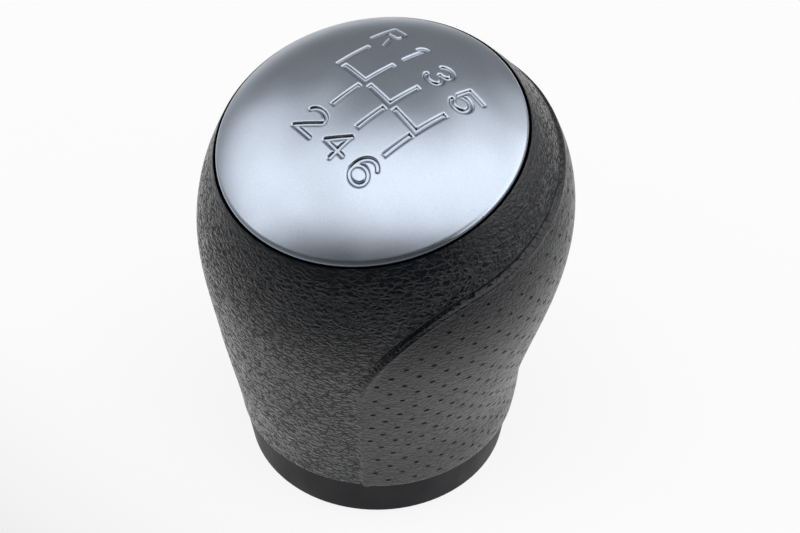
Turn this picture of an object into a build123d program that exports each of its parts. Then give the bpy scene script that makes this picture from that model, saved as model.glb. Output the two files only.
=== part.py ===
from build123d import *
from collections import namedtuple
import math
import os

# Gear shift knob, in millimetres and degrees. +Z is up, +Y is the front of the car, and the driver sits
# towards -Y. The origin is the middle of the foot's lower face, on the axis of the lever.

# Foot of the core: the bare ring that shows under the grip and spreads a little as it rises
FOOT_RADIUS = 21.5
FOOT_HEIGHT = 8.3
FOOT_FLARE = 8.2
FOOT_EDGE_ROUND = 0.25

# Stem of the core, inside the grip, and the mouth that the lever comes in through
SHOULDER_WIDTH = 1.5
STEM_DRAFT = 1.0
CORE_WALL = 3.0
MOUTH_CHAMFER = 0.8

# Boss for the lever, and the ribs that carry it
BOSS_RADIUS = 9.6
BOSS_RECESS = 12.0
RIB_COUNT = 6
RIB_THICKNESS = 2.0
RIB_SETBACK = 3.0

# Threaded insert: hexagonal bush with a groove round its waist
INSERT_ACROSS_FLATS = 13.0
INSERT_LENGTH = 20.0
INSERT_GROOVE_WIDTH = 3.0
INSERT_GROOVE_DEPTH = 0.8
THREAD_RADIUS = 5.0
THREAD_PITCH = 1.25
THREAD_DEPTH_PER_PITCH = 0.5413
LEAD_IN = 0.4
RELIEF_CLEARANCE = 0.5
RELIEF_DEPTH = 8.0

# Cap: a tilted spherical dome with a skirt that stands on the core's flange
CAP_RADIUS = 24.8
CAP_RIM_HEIGHT = 66.2
CAP_SETBACK = 0.8
CAP_TILT = 10.7
DOME_RADIUS = 36.3
CAP_WALL = 1.3
CAP_EDGE_ROUND = 1.8
SKIRT_DEPTH = 2.6
CAP_GAP = 0.25

# Flange of the core under the cap, and the clips that hold the cap to it
FLANGE_THICKNESS = 3.0
CLIP_COUNT = 3
CLIP_CIRCLE = 12.0
CLIP_WIDTH = 5.0
CLIP_THICKNESS = 1.6
CLIP_CLEARANCE = 0.3
HOOK_REACH = 1.2
HOOK_LENGTH = 2.6
HOOK_PLAY = 0.1

# Grip: how far each section swells, its height over the grip's foot or its drop under the cap's rim, and
# its lean to the front
GRIP_OVERHANG = 0.2
HEM_SWELL = 0.6
HEM_HEIGHT = 4.2
APRON_SWELL = 1.2
APRON_HEIGHT = 9.0
APRON_LEAN = -0.27
WAIST_SWELL = 2.6
WAIST_HEIGHT = 15.8
WAIST_LEAN = -0.1
FLANK_SWELL = 4.8
FLANK_HEIGHT = 24.8
FLANK_LEAN = 0.8
BELLY_SWELL = 7.3
BELLY_DROP = 16.9
BELLY_LEAN = 1.8
SHOULDER_SWELL = 3.3
SHOULDER_DROP = 7.3
SHOULDER_LEAN = 1.15
LIP_WIDTH = 0.15
LIP_DROP = 0.5
TILT_GROWTH = 2.6

# Perforated panel of the grip and the fold along its upper edge, drawn in the side view
PANEL_RISE = 0.3
SEAM_FOOT_SETBACK = 15.9
SEAM_LEAN = 7.3
SEAM_DROP = 9.6
SEAM_TILT = 12.5
SEAM_CORNER = 20.0
FOLD_WIDTH = 1.5
FOLD_TAIL = 0.3
FOLD_TAIL_DROP = 7.5
FOLD_DEPTH = 0.9

# Sizes that follow from those above
stem_radius = FOOT_RADIUS - SHOULDER_WIDTH
hollow_radius = stem_radius - CORE_WALL
thread_minor_radius = THREAD_RADIUS - THREAD_DEPTH_PER_PITCH * THREAD_PITCH
foot_top_radius = FOOT_RADIUS + FOOT_HEIGHT * math.tan(math.radians(FOOT_FLARE))
grip_foot_radius = foot_top_radius + GRIP_OVERHANG
cap_bore_radius = CAP_RADIUS + CAP_GAP
lip_radius = cap_bore_radius + LIP_WIDTH
dome_offset = math.sqrt(DOME_RADIUS**2 - CAP_RADIUS**2)
flange_depth = SKIRT_DEPTH + FLANGE_THICKNESS
hook_depth = flange_depth + HOOK_PLAY
top_height = CAP_RIM_HEIGHT + DOME_RADIUS
reach = 2 * (grip_foot_radius + BELLY_SWELL) + CAP_RADIUS

HEXAGON = 6
CHAMFER_ANGLE = 45
FROM_BELOW = (Align.CENTER, Align.CENTER, Align.MIN)
FROM_ABOVE = (Align.CENTER, Align.CENTER, Align.MAX)


def tilted_plane(height, lean, tilt):
    """A plane at a height on the knob, tipped towards the driver by the tilt."""
    normal = (0, -math.sin(math.radians(tilt)), math.cos(math.radians(tilt)))
    return Plane(origin=(0, lean, height), x_dir=(1, 0, 0), z_dir=normal)


cap_plane = tilted_plane(CAP_RIM_HEIGHT, -CAP_SETBACK, CAP_TILT)


def above(depth):
    """Everything over the plane that lies a depth under the cap's rim."""
    return cap_plane.offset(-depth) * Box(reach, reach, reach, align=FROM_BELOW)


def column(radius, base, top, draft=0.0):
    """A round column on the lever's axis, drawn in by its draft as it rises."""
    top_radius = radius - (top - base) * math.tan(math.radians(draft))
    profile = Polygon((0, base), (radius, base), (top_radius, top), (0, top), align=None)
    return revolve(Plane.XZ * profile, Axis.Z)


def at_clips(shape):
    """Copies of a shape at the cap's clips, which stand midway between two ribs, in the cap's frame."""
    rib_angle = 360 / RIB_COUNT
    turns = [(clip * RIB_COUNT // CLIP_COUNT + 0.5) * rib_angle for clip in range(CLIP_COUNT)]
    return [cap_plane * Rot(0, 0, turn) * Pos(CLIP_CIRCLE, 0, 0) * shape for turn in turns]


# Core

def make_core_form():
    """The core's outer form: flared foot, drafted stem and the tilted flange under the cap."""
    foot = column(FOOT_RADIUS, 0, FOOT_HEIGHT, -FOOT_FLARE)
    foot = fillet(foot.edges().group_by(Axis.Z)[0], FOOT_EDGE_ROUND)
    stem = column(stem_radius, FOOT_HEIGHT, top_height, STEM_DRAFT) - above(SKIRT_DEPTH)
    flange = Cylinder(cap_bore_radius, FLANGE_THICKNESS, align=FROM_ABOVE)
    flange = cap_plane.offset(-SKIRT_DEPTH) * flange
    return foot + stem + flange


def make_core(core_form, insert_form):
    """Hollow moulding with a ribbed boss round the insert and slots for the cap's clips."""
    hollow = column(hollow_radius, 0, top_height, STEM_DRAFT) - above(flange_depth)
    mouth = column(hollow_radius + MOUTH_CHAMFER, 0, MOUTH_CHAMFER, CHAMFER_ANGLE)
    boss = column(BOSS_RADIUS, BOSS_RECESS, top_height)
    rib_base = BOSS_RECESS + RIB_SETBACK
    rib_align = (Align.MIN, Align.CENTER, Align.MIN)
    rib = Pos(0, 0, rib_base) * Box(stem_radius, RIB_THICKNESS, top_height, align=rib_align)
    ribs = [Rot(0, 0, turn * 360 / RIB_COUNT) * rib for turn in range(RIB_COUNT)]
    core = core_form - hollow - mouth + ((boss + ribs) & core_form)
    relief_top = BOSS_RECESS + INSERT_LENGTH + RELIEF_DEPTH
    core -= column(THREAD_RADIUS + RELIEF_CLEARANCE, BOSS_RECESS, relief_top)
    slot_length = CLIP_WIDTH + 2 * CLIP_CLEARANCE
    slot_width = CLIP_THICKNESS + 2 * CLIP_CLEARANCE
    slot = Pos(0, 0, -SKIRT_DEPTH) * Box(slot_width, slot_length, 2 * FLANGE_THICKNESS)
    return core - insert_form - at_clips(slot)


# Threaded insert

def make_insert_form():
    """Outside of the insert: a hexagonal bush with a groove that keys it into the boss."""
    hexagon = RegularPolygon(INSERT_ACROSS_FLATS / 2, HEXAGON, major_radius=False)
    bush = extrude(Pos(0, 0, BOSS_RECESS) * hexagon, INSERT_LENGTH)
    groove_base = BOSS_RECESS + (INSERT_LENGTH - INSERT_GROOVE_WIDTH) / 2
    groove_top = groove_base + INSERT_GROOVE_WIDTH
    groove = column(INSERT_ACROSS_FLATS, groove_base, groove_top)
    groove -= column(INSERT_ACROSS_FLATS / 2 - INSERT_GROOVE_DEPTH, groove_base, groove_top)
    return bush - groove


def make_insert(insert_form):
    """The insert with its tapped bore, at the thread's inner diameter, and a lead-in at its mouth."""
    bore = column(thread_minor_radius, BOSS_RECESS, BOSS_RECESS + INSERT_LENGTH)
    lead_radius = THREAD_RADIUS + LEAD_IN
    lead_top = BOSS_RECESS + lead_radius - thread_minor_radius
    lead_in = column(lead_radius, BOSS_RECESS, lead_top, CHAMFER_ANGLE)
    return insert_form - bore - lead_in


# Cap

def make_cap():
    """Domed shell with a rolled rim, a skirt that stands on the flange and clips that hook under it."""
    inner_radius = CAP_RADIUS - CAP_WALL
    inner_dome = DOME_RADIUS - CAP_WALL
    inner_rim = math.sqrt(inner_dome**2 - inner_radius**2) - dome_offset
    edge = Line((0, inner_dome - dome_offset), (0, DOME_RADIUS - dome_offset))
    edge += RadiusArc(edge @ 1, (CAP_RADIUS, 0), DOME_RADIUS)
    edge += Line((CAP_RADIUS, 0), (CAP_RADIUS, -SKIRT_DEPTH))
    edge += Line((CAP_RADIUS, -SKIRT_DEPTH), (inner_radius, -SKIRT_DEPTH))
    edge += Line((inner_radius, -SKIRT_DEPTH), (inner_radius, inner_rim))
    edge += RadiusArc((inner_radius, inner_rim), (0, inner_dome - dome_offset), -inner_dome)
    profile = make_face(edge)
    rim_corner = profile.vertices().sort_by_distance((CAP_RADIUS, 0, 0))[0]
    profile = fillet(rim_corner, CAP_EDGE_ROUND)
    shell = cap_plane * revolve(Plane.XZ * profile, Axis.Z)
    leg = Pos(0, 0, -hook_depth - HOOK_LENGTH) * Box(CLIP_THICKNESS, CLIP_WIDTH, reach, align=FROM_BELOW)
    hook_root = CLIP_THICKNESS / 2
    hook_tip = hook_root + CLIP_CLEARANCE + HOOK_REACH
    hook_foot = -hook_depth - HOOK_LENGTH
    hook_corners = [(hook_root, -hook_depth), (hook_tip, -hook_depth), (hook_root, hook_foot)]
    hook_outline = Polygon(*hook_corners, align=None)
    hook = extrude(Plane.XZ * hook_outline, CLIP_WIDTH / 2, both=True)
    mid_dome = cap_plane * Pos(0, 0, -dome_offset) * Sphere(DOME_RADIUS - CAP_WALL / 2)
    clips = [clip & mid_dome for clip in at_clips(leg + hook)]
    return shell + clips


# Grip

Section = namedtuple("Section", "height radius lean")


def grip_sections():
    """The round sections that the grip runs through, from its foot to its shoulder."""
    return [
        Section(FOOT_HEIGHT, grip_foot_radius, 0),
        Section(FOOT_HEIGHT + HEM_HEIGHT, grip_foot_radius + HEM_SWELL, 0),
        Section(FOOT_HEIGHT + APRON_HEIGHT, grip_foot_radius + APRON_SWELL, APRON_LEAN),
        Section(FOOT_HEIGHT + WAIST_HEIGHT, grip_foot_radius + WAIST_SWELL, WAIST_LEAN),
        Section(FOOT_HEIGHT + FLANK_HEIGHT, grip_foot_radius + FLANK_SWELL, FLANK_LEAN),
        Section(CAP_RIM_HEIGHT - BELLY_DROP, grip_foot_radius + BELLY_SWELL, BELLY_LEAN),
        Section(CAP_RIM_HEIGHT - SHOULDER_DROP, lip_radius + SHOULDER_SWELL, SHOULDER_LEAN),
    ]


def grip_form(growth=0.0):
    """The grip's outer form up to its lip. Its sections tip over more and more to the cap's tilt."""
    circles = []
    for section in grip_sections():
        share = (section.height - FOOT_HEIGHT) / (CAP_RIM_HEIGHT - FOOT_HEIGHT)
        plane = tilted_plane(section.height, section.lean, CAP_TILT * share**TILT_GROWTH)
        circles.append(plane * Circle(section.radius + growth))
    circles.append(cap_plane.offset(-LIP_DROP) * Circle(lip_radius + growth))
    return loft(circles)


def seam_lines(drop, setback):
    """Side view of the seam: where its rear line stands on Z = 0, its corner and its far front end."""
    lean = math.tan(math.radians(SEAM_LEAN))
    slope = math.tan(math.radians(SEAM_TILT))
    level = CAP_RIM_HEIGHT + CAP_SETBACK * slope - drop / math.cos(math.radians(SEAM_TILT))
    rear = FOOT_HEIGHT * lean - setback
    corner_z = (level + rear * slope) / (1 + lean * slope)
    return (rear, 0), (rear - corner_z * lean, corner_z), (reach, level + reach * slope)


def panel_region(drop, setback):
    """Everything before the seam's rear line and under its upper line, from side to side."""
    rear, corner, front = seam_lines(drop, setback)
    outline = Polygon(rear, corner, front, (reach, 0), align=None)
    rounded = fillet(outline.vertices().sort_by_distance((*corner, 0))[0], SEAM_CORNER)
    return extrude(Plane.YZ * rounded, reach, both=True)


def make_grip(core_form):
    """Soft moulding round the core, with a raised panel and a fold that tails off at its corner."""
    panel = panel_region(SEAM_DROP, SEAM_FOOT_SETBACK)
    fold = panel_region(SEAM_DROP - FOLD_WIDTH, SEAM_FOOT_SETBACK + FOLD_TAIL) - panel
    tail_height = seam_lines(SEAM_DROP, SEAM_FOOT_SETBACK)[1][1] - FOLD_TAIL_DROP
    fold -= Pos(0, 0, tail_height) * Box(2 * reach, 2 * reach, 2 * reach, align=FROM_ABOVE)
    grip = grip_form() - (fold - grip_form(-FOLD_DEPTH))
    grip += grip_form(PANEL_RISE) & panel
    cap_bore = cap_plane.offset(-SKIRT_DEPTH) * Cylinder(cap_bore_radius, reach, align=FROM_BELOW)
    return grip - core_form - cap_bore


core_form = make_core_form()
insert_form = make_insert_form()
nodes = {
    "core": make_core(core_form, insert_form),
    "threaded_insert": make_insert(insert_form),
    "shift_pattern_cap": make_cap(),
    "grip_body": make_grip(core_form),
}
os.makedirs("parts", exist_ok=True)
for name, solid in nodes.items():
    export_step(solid, f"parts/{name}.step")
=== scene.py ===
import logging
import math
from dataclasses import dataclass
from enum import Enum
from functools import reduce
from typing import Any

import bpy
import numpy as np
from mathutils import Matrix, Vector


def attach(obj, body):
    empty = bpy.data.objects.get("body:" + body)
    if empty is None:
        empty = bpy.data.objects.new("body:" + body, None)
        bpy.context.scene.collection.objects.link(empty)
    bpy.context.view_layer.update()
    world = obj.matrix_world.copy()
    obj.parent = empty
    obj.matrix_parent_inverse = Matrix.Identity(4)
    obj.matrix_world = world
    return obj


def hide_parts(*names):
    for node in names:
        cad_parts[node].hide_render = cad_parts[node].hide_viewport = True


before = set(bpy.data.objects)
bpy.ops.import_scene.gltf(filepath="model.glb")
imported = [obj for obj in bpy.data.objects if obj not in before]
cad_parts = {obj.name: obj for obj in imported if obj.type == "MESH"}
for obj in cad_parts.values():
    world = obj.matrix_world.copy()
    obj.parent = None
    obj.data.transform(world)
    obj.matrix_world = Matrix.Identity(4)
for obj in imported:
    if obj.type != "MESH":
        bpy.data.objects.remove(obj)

Array = np.ndarray
Stroke = Array
Sizes = Array | float
Pair = tuple[float, float]
Colour = tuple[float, float, float]
Socket = bpy.types.NodeSocket
Material = bpy.types.Material
Object = bpy.types.Object

MM = 0.001
FULL_TURN = 2.0 * math.pi
TINY = 1e-6
UPWARD = Vector((0.0, 0.0, 1.0))
NOISE_RANGE = (0.3, 0.7)
BODY = "root"
LOG = logging.getLogger("gear_knob")


def smooth_step(low: float, high: float, at: Array) -> Array:
    """Eases from 0 at low to 1 at high, as 3x^2 - 2x^3 of the share x between them."""
    share = np.clip((at - low) / (high - low), 0.0, 1.0)
    return share * share * (3.0 - 2.0 * share)


def hump(centre: float, half_width: float, at: Array) -> Array:
    """A smooth hump of height 1, (1 - x^2)^2 of the distance x from its centre in half widths."""
    share = np.clip(np.abs(at - centre) / half_width, 0.0, 1.0)
    return (1.0 - share * share) ** 2


def sine_cosine(degrees: float) -> Pair:
    """Sine and cosine of an angle in degrees."""
    return math.sin(math.radians(degrees)), math.cos(math.radians(degrees))


def around(radii: Sizes, turn: Array, heights: Sizes) -> Array:
    """Points about Z: the radius times the turn's cosine and sine, and the height."""
    return np.stack(np.broadcast_arrays(radii * np.cos(turn), radii * np.sin(turn), heights), axis=-1)


def outward(along: Array, up: Array) -> Array:
    """Unit normals of a surface from its slopes along and up it."""
    normal = np.cross(along, up)
    return normal / np.linalg.norm(normal, axis=-1, keepdims=True)


def spline_through(knots: Array, values: Array, at: Array) -> Array:
    """Cubic spline through the values, with no bend at its two ends.

    The second derivatives at the knots solve one banded system, and each span is then the blend of its two
    ends plus the cubic terms of those derivatives.

    Args:
        knots: Rising places of the values.
        values: One row of values for each knot.
        at: Places to work the spline out at.

    Returns:
        One row of values for each place.
    """
    span = np.diff(knots)
    count = len(knots)
    inner = np.arange(1, count - 1)
    system = np.eye(count)
    system[inner, inner - 1] = span[:-1]
    system[inner, inner] = 2.0 * (span[:-1] + span[1:])
    system[inner, inner + 1] = span[1:]
    right = np.zeros_like(values)
    right[inner] = 6.0 * np.diff(np.diff(values, axis=0) / span[:, None], axis=0)
    bend = np.linalg.solve(system, right)
    k = np.clip(np.searchsorted(knots, at) - 1, 0, count - 2)
    near = ((knots[k + 1] - at) / span[k])[:, None]
    far = 1.0 - near
    cubic = (near**3 - near) * bend[k] + (far**3 - far) * bend[k + 1]
    return near * values[k] + far * values[k + 1] + cubic * span[k][:, None] ** 2 / 6.0


def weave(
    rows: int, columns: int, close_rows: bool = False, close_columns: bool = True, flip: bool = False
) -> Array:
    """Quads of a grid of points that is numbered row by row.

    Args:
        rows: Rows of points.
        columns: Points in a row.
        close_rows: Joins the last row to the first.
        close_columns: Joins the last point of a row to its first.
        flip: Turns the faces round.

    Returns:
        Four point numbers for each quad.
    """
    row = np.arange(rows if close_rows else rows - 1)[:, None]
    column = np.arange(columns if close_columns else columns - 1)[None, :]
    above = (row + 1) % rows * columns
    beside = (column + 1) % columns
    here = row * columns
    corners = np.broadcast_arrays(here + column, here + beside, above + beside, above + column)
    quads = np.stack(corners, axis=-1).reshape(-1, 4)
    return quads[:, ::-1] if flip else quads


def arc(centre: Pair, radii: Pair, start: float, end: float, steps: int = 18) -> Stroke:
    """Points along an elliptic arc, from a start angle to an end angle in degrees."""
    turn = np.radians(np.linspace(start, end, steps))
    return np.array(centre) + np.array(radii) * np.stack([np.cos(turn), np.sin(turn)], axis=-1)


def line(*points: Pair) -> Stroke:
    """A stroke straight from point to point."""
    return np.array(points, dtype=float)


def nearest_stroke(points: Array, strokes: list[Stroke], square: bool = False) -> Array:
    """Distance from each point to the nearest of the strokes' straight runs.

    In a run's own axes a point lies some way past its ends and some way beside it. Round ends take the root of
    both squares, and square ends the larger of the two. The shortest distance over all runs is kept.

    Args:
        points: Points on the flat.
        strokes: Centre lines.
        square: Gives the strokes square ends.

    Returns:
        One distance for each point.
    """
    starts = np.concatenate([stroke[:-1] for stroke in strokes])
    runs = np.concatenate([np.diff(stroke, axis=0) for stroke in strokes])
    lengths = np.maximum(np.linalg.norm(runs, axis=-1), TINY)
    best = np.full(len(points), np.inf)
    for start, run, length in zip(starts, runs, lengths):
        along = (points - start) @ run / length
        beside = (points - start) @ np.array([-run[1], run[0]]) / length
        past = np.maximum(np.abs(along - length / 2) - length / 2, 0.0)
        away = np.maximum(past, np.abs(beside)) if square else np.hypot(past, beside)
        best = np.minimum(best, away)
    return best


def new_object(name: str, data: bpy.types.ID) -> Object:
    """Puts a mesh, a lamp or a camera into the scene.

    Args:
        name: Name of the object.
        data: What it shows.

    Returns:
        The new object, at the origin.
    """
    thing = bpy.data.objects.new(name, data)
    bpy.context.scene.collection.objects.link(thing)
    return thing


@dataclass
class Shell:
    """Points in millimetres and the faces between them, as one mesh or a part of one."""

    points: Array
    faces: list[list[int]]

    @classmethod
    def of_loop(cls, rows: Array) -> "Shell":
        """A closed shell of rows of points, each a ring, whose last row meets the first."""
        return cls(rows.reshape(-1, 3), weave(*rows.shape[:2], close_rows=True).tolist())

    def joined(self, other: "Shell") -> "Shell":
        """Both shells in one, with the other's faces numbered on."""
        moved = [[len(self.points) + corner for corner in face] for face in other.faces]
        return Shell(np.concatenate([self.points, other.points]), self.faces + moved)

    def to_object(self, name: str, sharp_angle: float) -> Object:
        """Puts the shell into the scene as a smooth-shaded mesh in metres.

        Args:
            name: Name of the piece.
            sharp_angle: Edges that turn by more than this, in degrees, stay sharp.

        Returns:
            The new object, at the origin.
        """
        mesh = bpy.data.meshes.new(name)
        mesh.from_pydata((self.points * MM).tolist(), [], self.faces)
        mesh.polygons.foreach_set("use_smooth", np.ones(len(mesh.polygons), dtype=bool))
        mesh.set_sharp_from_angle(angle=math.radians(sharp_angle))
        mesh.update()
        return new_object(name, mesh)


def sharpen(mesh: bpy.types.Mesh, marked: Array) -> None:
    """Keeps an edge sharp where both its points are marked.

    Args:
        mesh: The mesh.
        marked: Whether each point is marked.
    """
    ends = np.empty(2 * len(mesh.edges), dtype=np.int32)
    mesh.edges.foreach_get("vertices", ends)
    sharp = np.empty(len(mesh.edges), dtype=bool)
    mesh.edges.foreach_get("use_edge_sharp", sharp)
    mesh.edges.foreach_set("use_edge_sharp", sharp | marked[ends.reshape(-1, 2)].all(axis=1))


def write_mark(piece: Object, name: str, values: Array) -> None:
    """Writes a point attribute for the finish to read, which is 0 on points past the end of the values."""
    padded = np.pad(values.ravel(), (0, len(piece.data.vertices) - values.size)).astype(np.float32)
    piece.data.attributes.new(name, "FLOAT", "POINT").data.foreach_set("value", padded)


def settle(piece: Object, finish: Material, node: str) -> Object:
    """Gives a piece its finish and slot, and lets it stand for a solid on the knob's one body.

    Args:
        piece: The new piece.
        finish: Its material.
        node: The solid that it stands for.

    Returns:
        The same piece.
    """
    piece.data.materials.append(finish)
    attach(piece, BODY)
    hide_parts(node)
    return piece


# Finishes, with their sizes in millimetres


class NodeSketch:
    """Lays out the nodes of one material or world."""

    def __init__(self, owner: Material | bpy.types.World) -> None:
        """Starts with an empty tree."""
        owner.use_nodes = True
        owner.node_tree.nodes.clear()
        self.owner, self.tree = owner, owner.node_tree

    @classmethod
    def material(cls, name: str) -> "NodeSketch":
        """Starts a new material."""
        return cls(bpy.data.materials.new(name))

    def add(self, kind: str, settings: dict[str, Any] | None = None, **sockets: Any) -> bpy.types.Node:
        """Adds a node.

        Args:
            kind: Blender's name for the node, without its ShaderNode.
            settings: Properties of the node.
            sockets: Inputs by name, with _ for a space, or by place as _0, _1: a value, or a socket to link.

        Returns:
            The node.
        """
        node = self.tree.nodes.new("ShaderNode" + kind)
        for key, value in (settings or {}).items():
            setattr(node, key, value)
        for key, value in sockets.items():
            socket = node.inputs[int(key[1:])] if key[0] == "_" else node.inputs[key.replace("_", " ")]
            if isinstance(value, Socket):
                self.tree.links.new(value, socket)
            else:
                socket.default_value = value
        return node

    def place(self) -> Socket:
        """The piece's own coordinates, in metres."""
        return self.add("TexCoord").outputs["Object"]

    def mark(self, name: str) -> Socket:
        """One of the piece's own attributes."""
        return self.add("Attribute", {"attribute_name": name}).outputs["Fac"]

    def noise(self, vector: Socket, size: float, detail: float, output: str = "Fac") -> Socket:
        """Soft noise from 0 to 1, with its grains about a size in millimetres across."""
        return self.add("TexNoise", Vector=vector, Scale=1.0 / (size * MM), Detail=detail).outputs[output]

    def math(self, operation: str, first: Any, second: Any) -> Socket:
        """One sum of two values or sockets."""
        return self.add("Math", {"operation": operation}, _0=first, _1=second).outputs[0]

    def product(self, *values: Any) -> Socket:
        """The values or sockets multiplied together."""
        return reduce(lambda first, second: self.math("MULTIPLY", first, second), values)

    def total(self, *values: Any) -> Socket:
        """The values or sockets added up."""
        return reduce(lambda first, second: self.math("ADD", first, second), values)

    def highest(self, *values: Any) -> Socket:
        """The highest of the values or sockets."""
        return reduce(lambda first, second: self.math("MAXIMUM", first, second), values)

    def vector(self, operation: str, first: Any, second: Any, output: str = "Vector") -> Socket:
        """One sum of two vectors, or of a vector and its scale. Distances and dot products come out as Value."""
        sockets = {"_0": first, "Scale" if operation == "SCALE" else "_1": second}
        return self.add("VectorMath", {"operation": operation}, **sockets).outputs[output]

    def span(
        self, value: Socket, low: float, high: float, start: float, end: float, easing: str = "LINEAR"
    ) -> Socket:
        """Carries the range low to high over to start to end."""
        sockets = {"_0": value, "_1": low, "_2": high, "_3": start, "_4": end}
        return self.add("MapRange", {"interpolation_type": easing}, **sockets).outputs[0]

    def crest(self, value: Socket, centre: float, half_width: float) -> Socket:
        """A smooth hump of height 1 about a centre, down to nothing at the half width."""
        away = self.math("ABSOLUTE", self.math("SUBTRACT", value, centre), 0.0)
        return self.span(away, 0.0, half_width, 1.0, 0.0, "SMOOTHSTEP")

    def tint(self, value: Socket, first: Colour, last: Colour) -> Socket:
        """A colour between two.

        Args:
            value: From 0 at the first colour to 1 at the last.
            first: The first colour.
            last: The last colour.

        Returns:
            The colour.
        """
        ramp = self.add("ValToRGB", Fac=value)
        for element, colour in zip(ramp.color_ramp.elements, (first, last)):
            element.color = (*colour, 1.0)
        return ramp.outputs["Color"]

    def close(self, shader: Socket, output: str = "OutputMaterial") -> Any:
        """Takes the shader to the output, and gives back the finished material or world."""
        self.add(output, Surface=shader)
        return self.owner

    def finish(self, colour: Socket, roughness: Socket, height: Socket, depth: float, **sockets: Any) -> Material:
        """Closes the material with one shader over a bump, where a height of 1 is the depth in metres."""
        sockets["Normal"] = self.add("Bump", Strength=1.0, Distance=depth, Height=height).outputs[0]
        return self.close(self.add("BsdfPrincipled", Base_Color=colour, Roughness=roughness, **sockets).outputs[0])


@dataclass(frozen=True)
class GrainedSkin:
    """Soft dark skin with a moulded leather grain, which fades where the piece's grain attribute is low.

    The depths of flanks, cracks and pores are shares of the grain's depth, a crease is one deep, and each band is
    the centre and half width of a hump beside the seam.
    """

    dark: Colour = (0.0006, 0.001, 0.0024)
    pale: Colour = (0.0016, 0.0026, 0.0062)
    refraction: float = 1.5
    depth: float = 0.08
    flatten: float = 1.65
    pebble: float = 1.35
    wander: float = 2.25
    drift: float = 1.3
    crease_edge: Pair = (0.01, 0.15)
    flank_reach: float = 0.42
    flank_depth: float = 0.85
    patch: float = 1.6875
    patch_edge: Pair = (0.38, 0.51)
    faint_crease: float = 0.2
    crack: float = 1.8
    crack_edge: float = 0.05
    crack_depth: float = 0.4
    pore: float = 0.28
    pore_depth: float = 0.06
    lip_band: Pair = (0.45, 0.4)
    lip_rise: float = 0.08
    trench_band: Pair = (-0.38, 0.55)
    trench_depth: float = 0.22
    bead_band: Pair = (-1.15, 0.45)
    bead_rise: float = 0.10
    smooth_weight: float = 0.3
    smooth_roughness: float = 0.30
    grain_roughness: float = 0.18
    crease_start: Pair = (0.1, 0.7)
    crease_roughness: float = 0.48
    trench_roughness: float = 0.5

    def make(self) -> Material:
        """Pebbles drawn out round the grip, creases and cracks between them, pores, and the fold's crisp edges.

        The pebbles are cells whose places wander, with flanks that fall off to the creases. The creases are
        rougher, with painted shade darkening their colour, and faint in patches. The fold's edges are humps of the
        distance from the seam: a lip on the panel's side, a trench outside it, and a bead beyond the trench.

        Returns:
            The material.
        """
        sketch = NodeSketch.material("grained_skin")
        place = sketch.place()
        flat = sketch.vector("MULTIPLY", place, (1.0, 1.0, self.flatten))
        wander = sketch.vector("SUBTRACT", sketch.noise(flat, self.wander, 2.0, "Color"), (0.5, 0.5, 0.5))
        moved = sketch.vector("ADD", flat, sketch.vector("SCALE", wander, self.drift * self.pebble * MM))
        kind = {"feature": "DISTANCE_TO_EDGE"}
        cells = sketch.add("TexVoronoi", kind, Vector=moved, Scale=1.0 / (self.pebble * MM)).outputs["Distance"]
        patches = sketch.span(sketch.noise(flat, self.patch, 1.0), *self.patch_edge, self.faint_crease, 1.0)
        joints = sketch.product(sketch.span(cells, *self.crease_edge, 1.0, 0.0), patches)
        level = sketch.math("SUBTRACT", sketch.noise(flat, self.crack, 1.5), 0.5)
        level = sketch.math("ABSOLUTE", level, 0.0)
        creases = sketch.highest(joints, sketch.span(level, 0.0, self.crack_edge, self.crack_depth, 0.0))
        weight, gap, fold = (sketch.mark(name) for name in ("grain", "seam_gap", "fold"))
        hollow = sketch.product(creases, weight)
        flanks = sketch.product(sketch.span(cells, 0.0, self.flank_reach, self.flank_depth, 0.0), weight)
        pores = sketch.product(sketch.noise(place, self.pore, 2.0), self.pore_depth)
        grain = sketch.math("SUBTRACT", pores, sketch.total(hollow, flanks))
        lip = sketch.product(sketch.crest(gap, *self.lip_band), self.lip_rise)
        bead = sketch.product(sketch.crest(gap, *self.bead_band), self.bead_rise)
        trench = sketch.product(sketch.crest(gap, *self.trench_band), fold)
        edges = sketch.product(sketch.total(lip, bead), fold)
        edges = sketch.math("SUBTRACT", edges, sketch.product(trench, self.trench_depth))
        height = sketch.total(sketch.product(grain, self.depth), edges)
        # Painted shade: the colour goes from pale on the pebbles to dark in the creases and cracks.
        colour = sketch.tint(creases, self.pale, self.dark)
        base = sketch.span(weight, self.smooth_weight, 1.0, self.smooth_roughness, self.grain_roughness)
        rough = sketch.total(base, sketch.span(hollow, *self.crease_start, 0.0, self.crease_roughness))
        rough = sketch.highest(rough, sketch.span(trench, 0.0, 1.0, self.grain_roughness, self.trench_roughness))
        return sketch.finish(colour, rough, height, MM, IOR=self.refraction)


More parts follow.
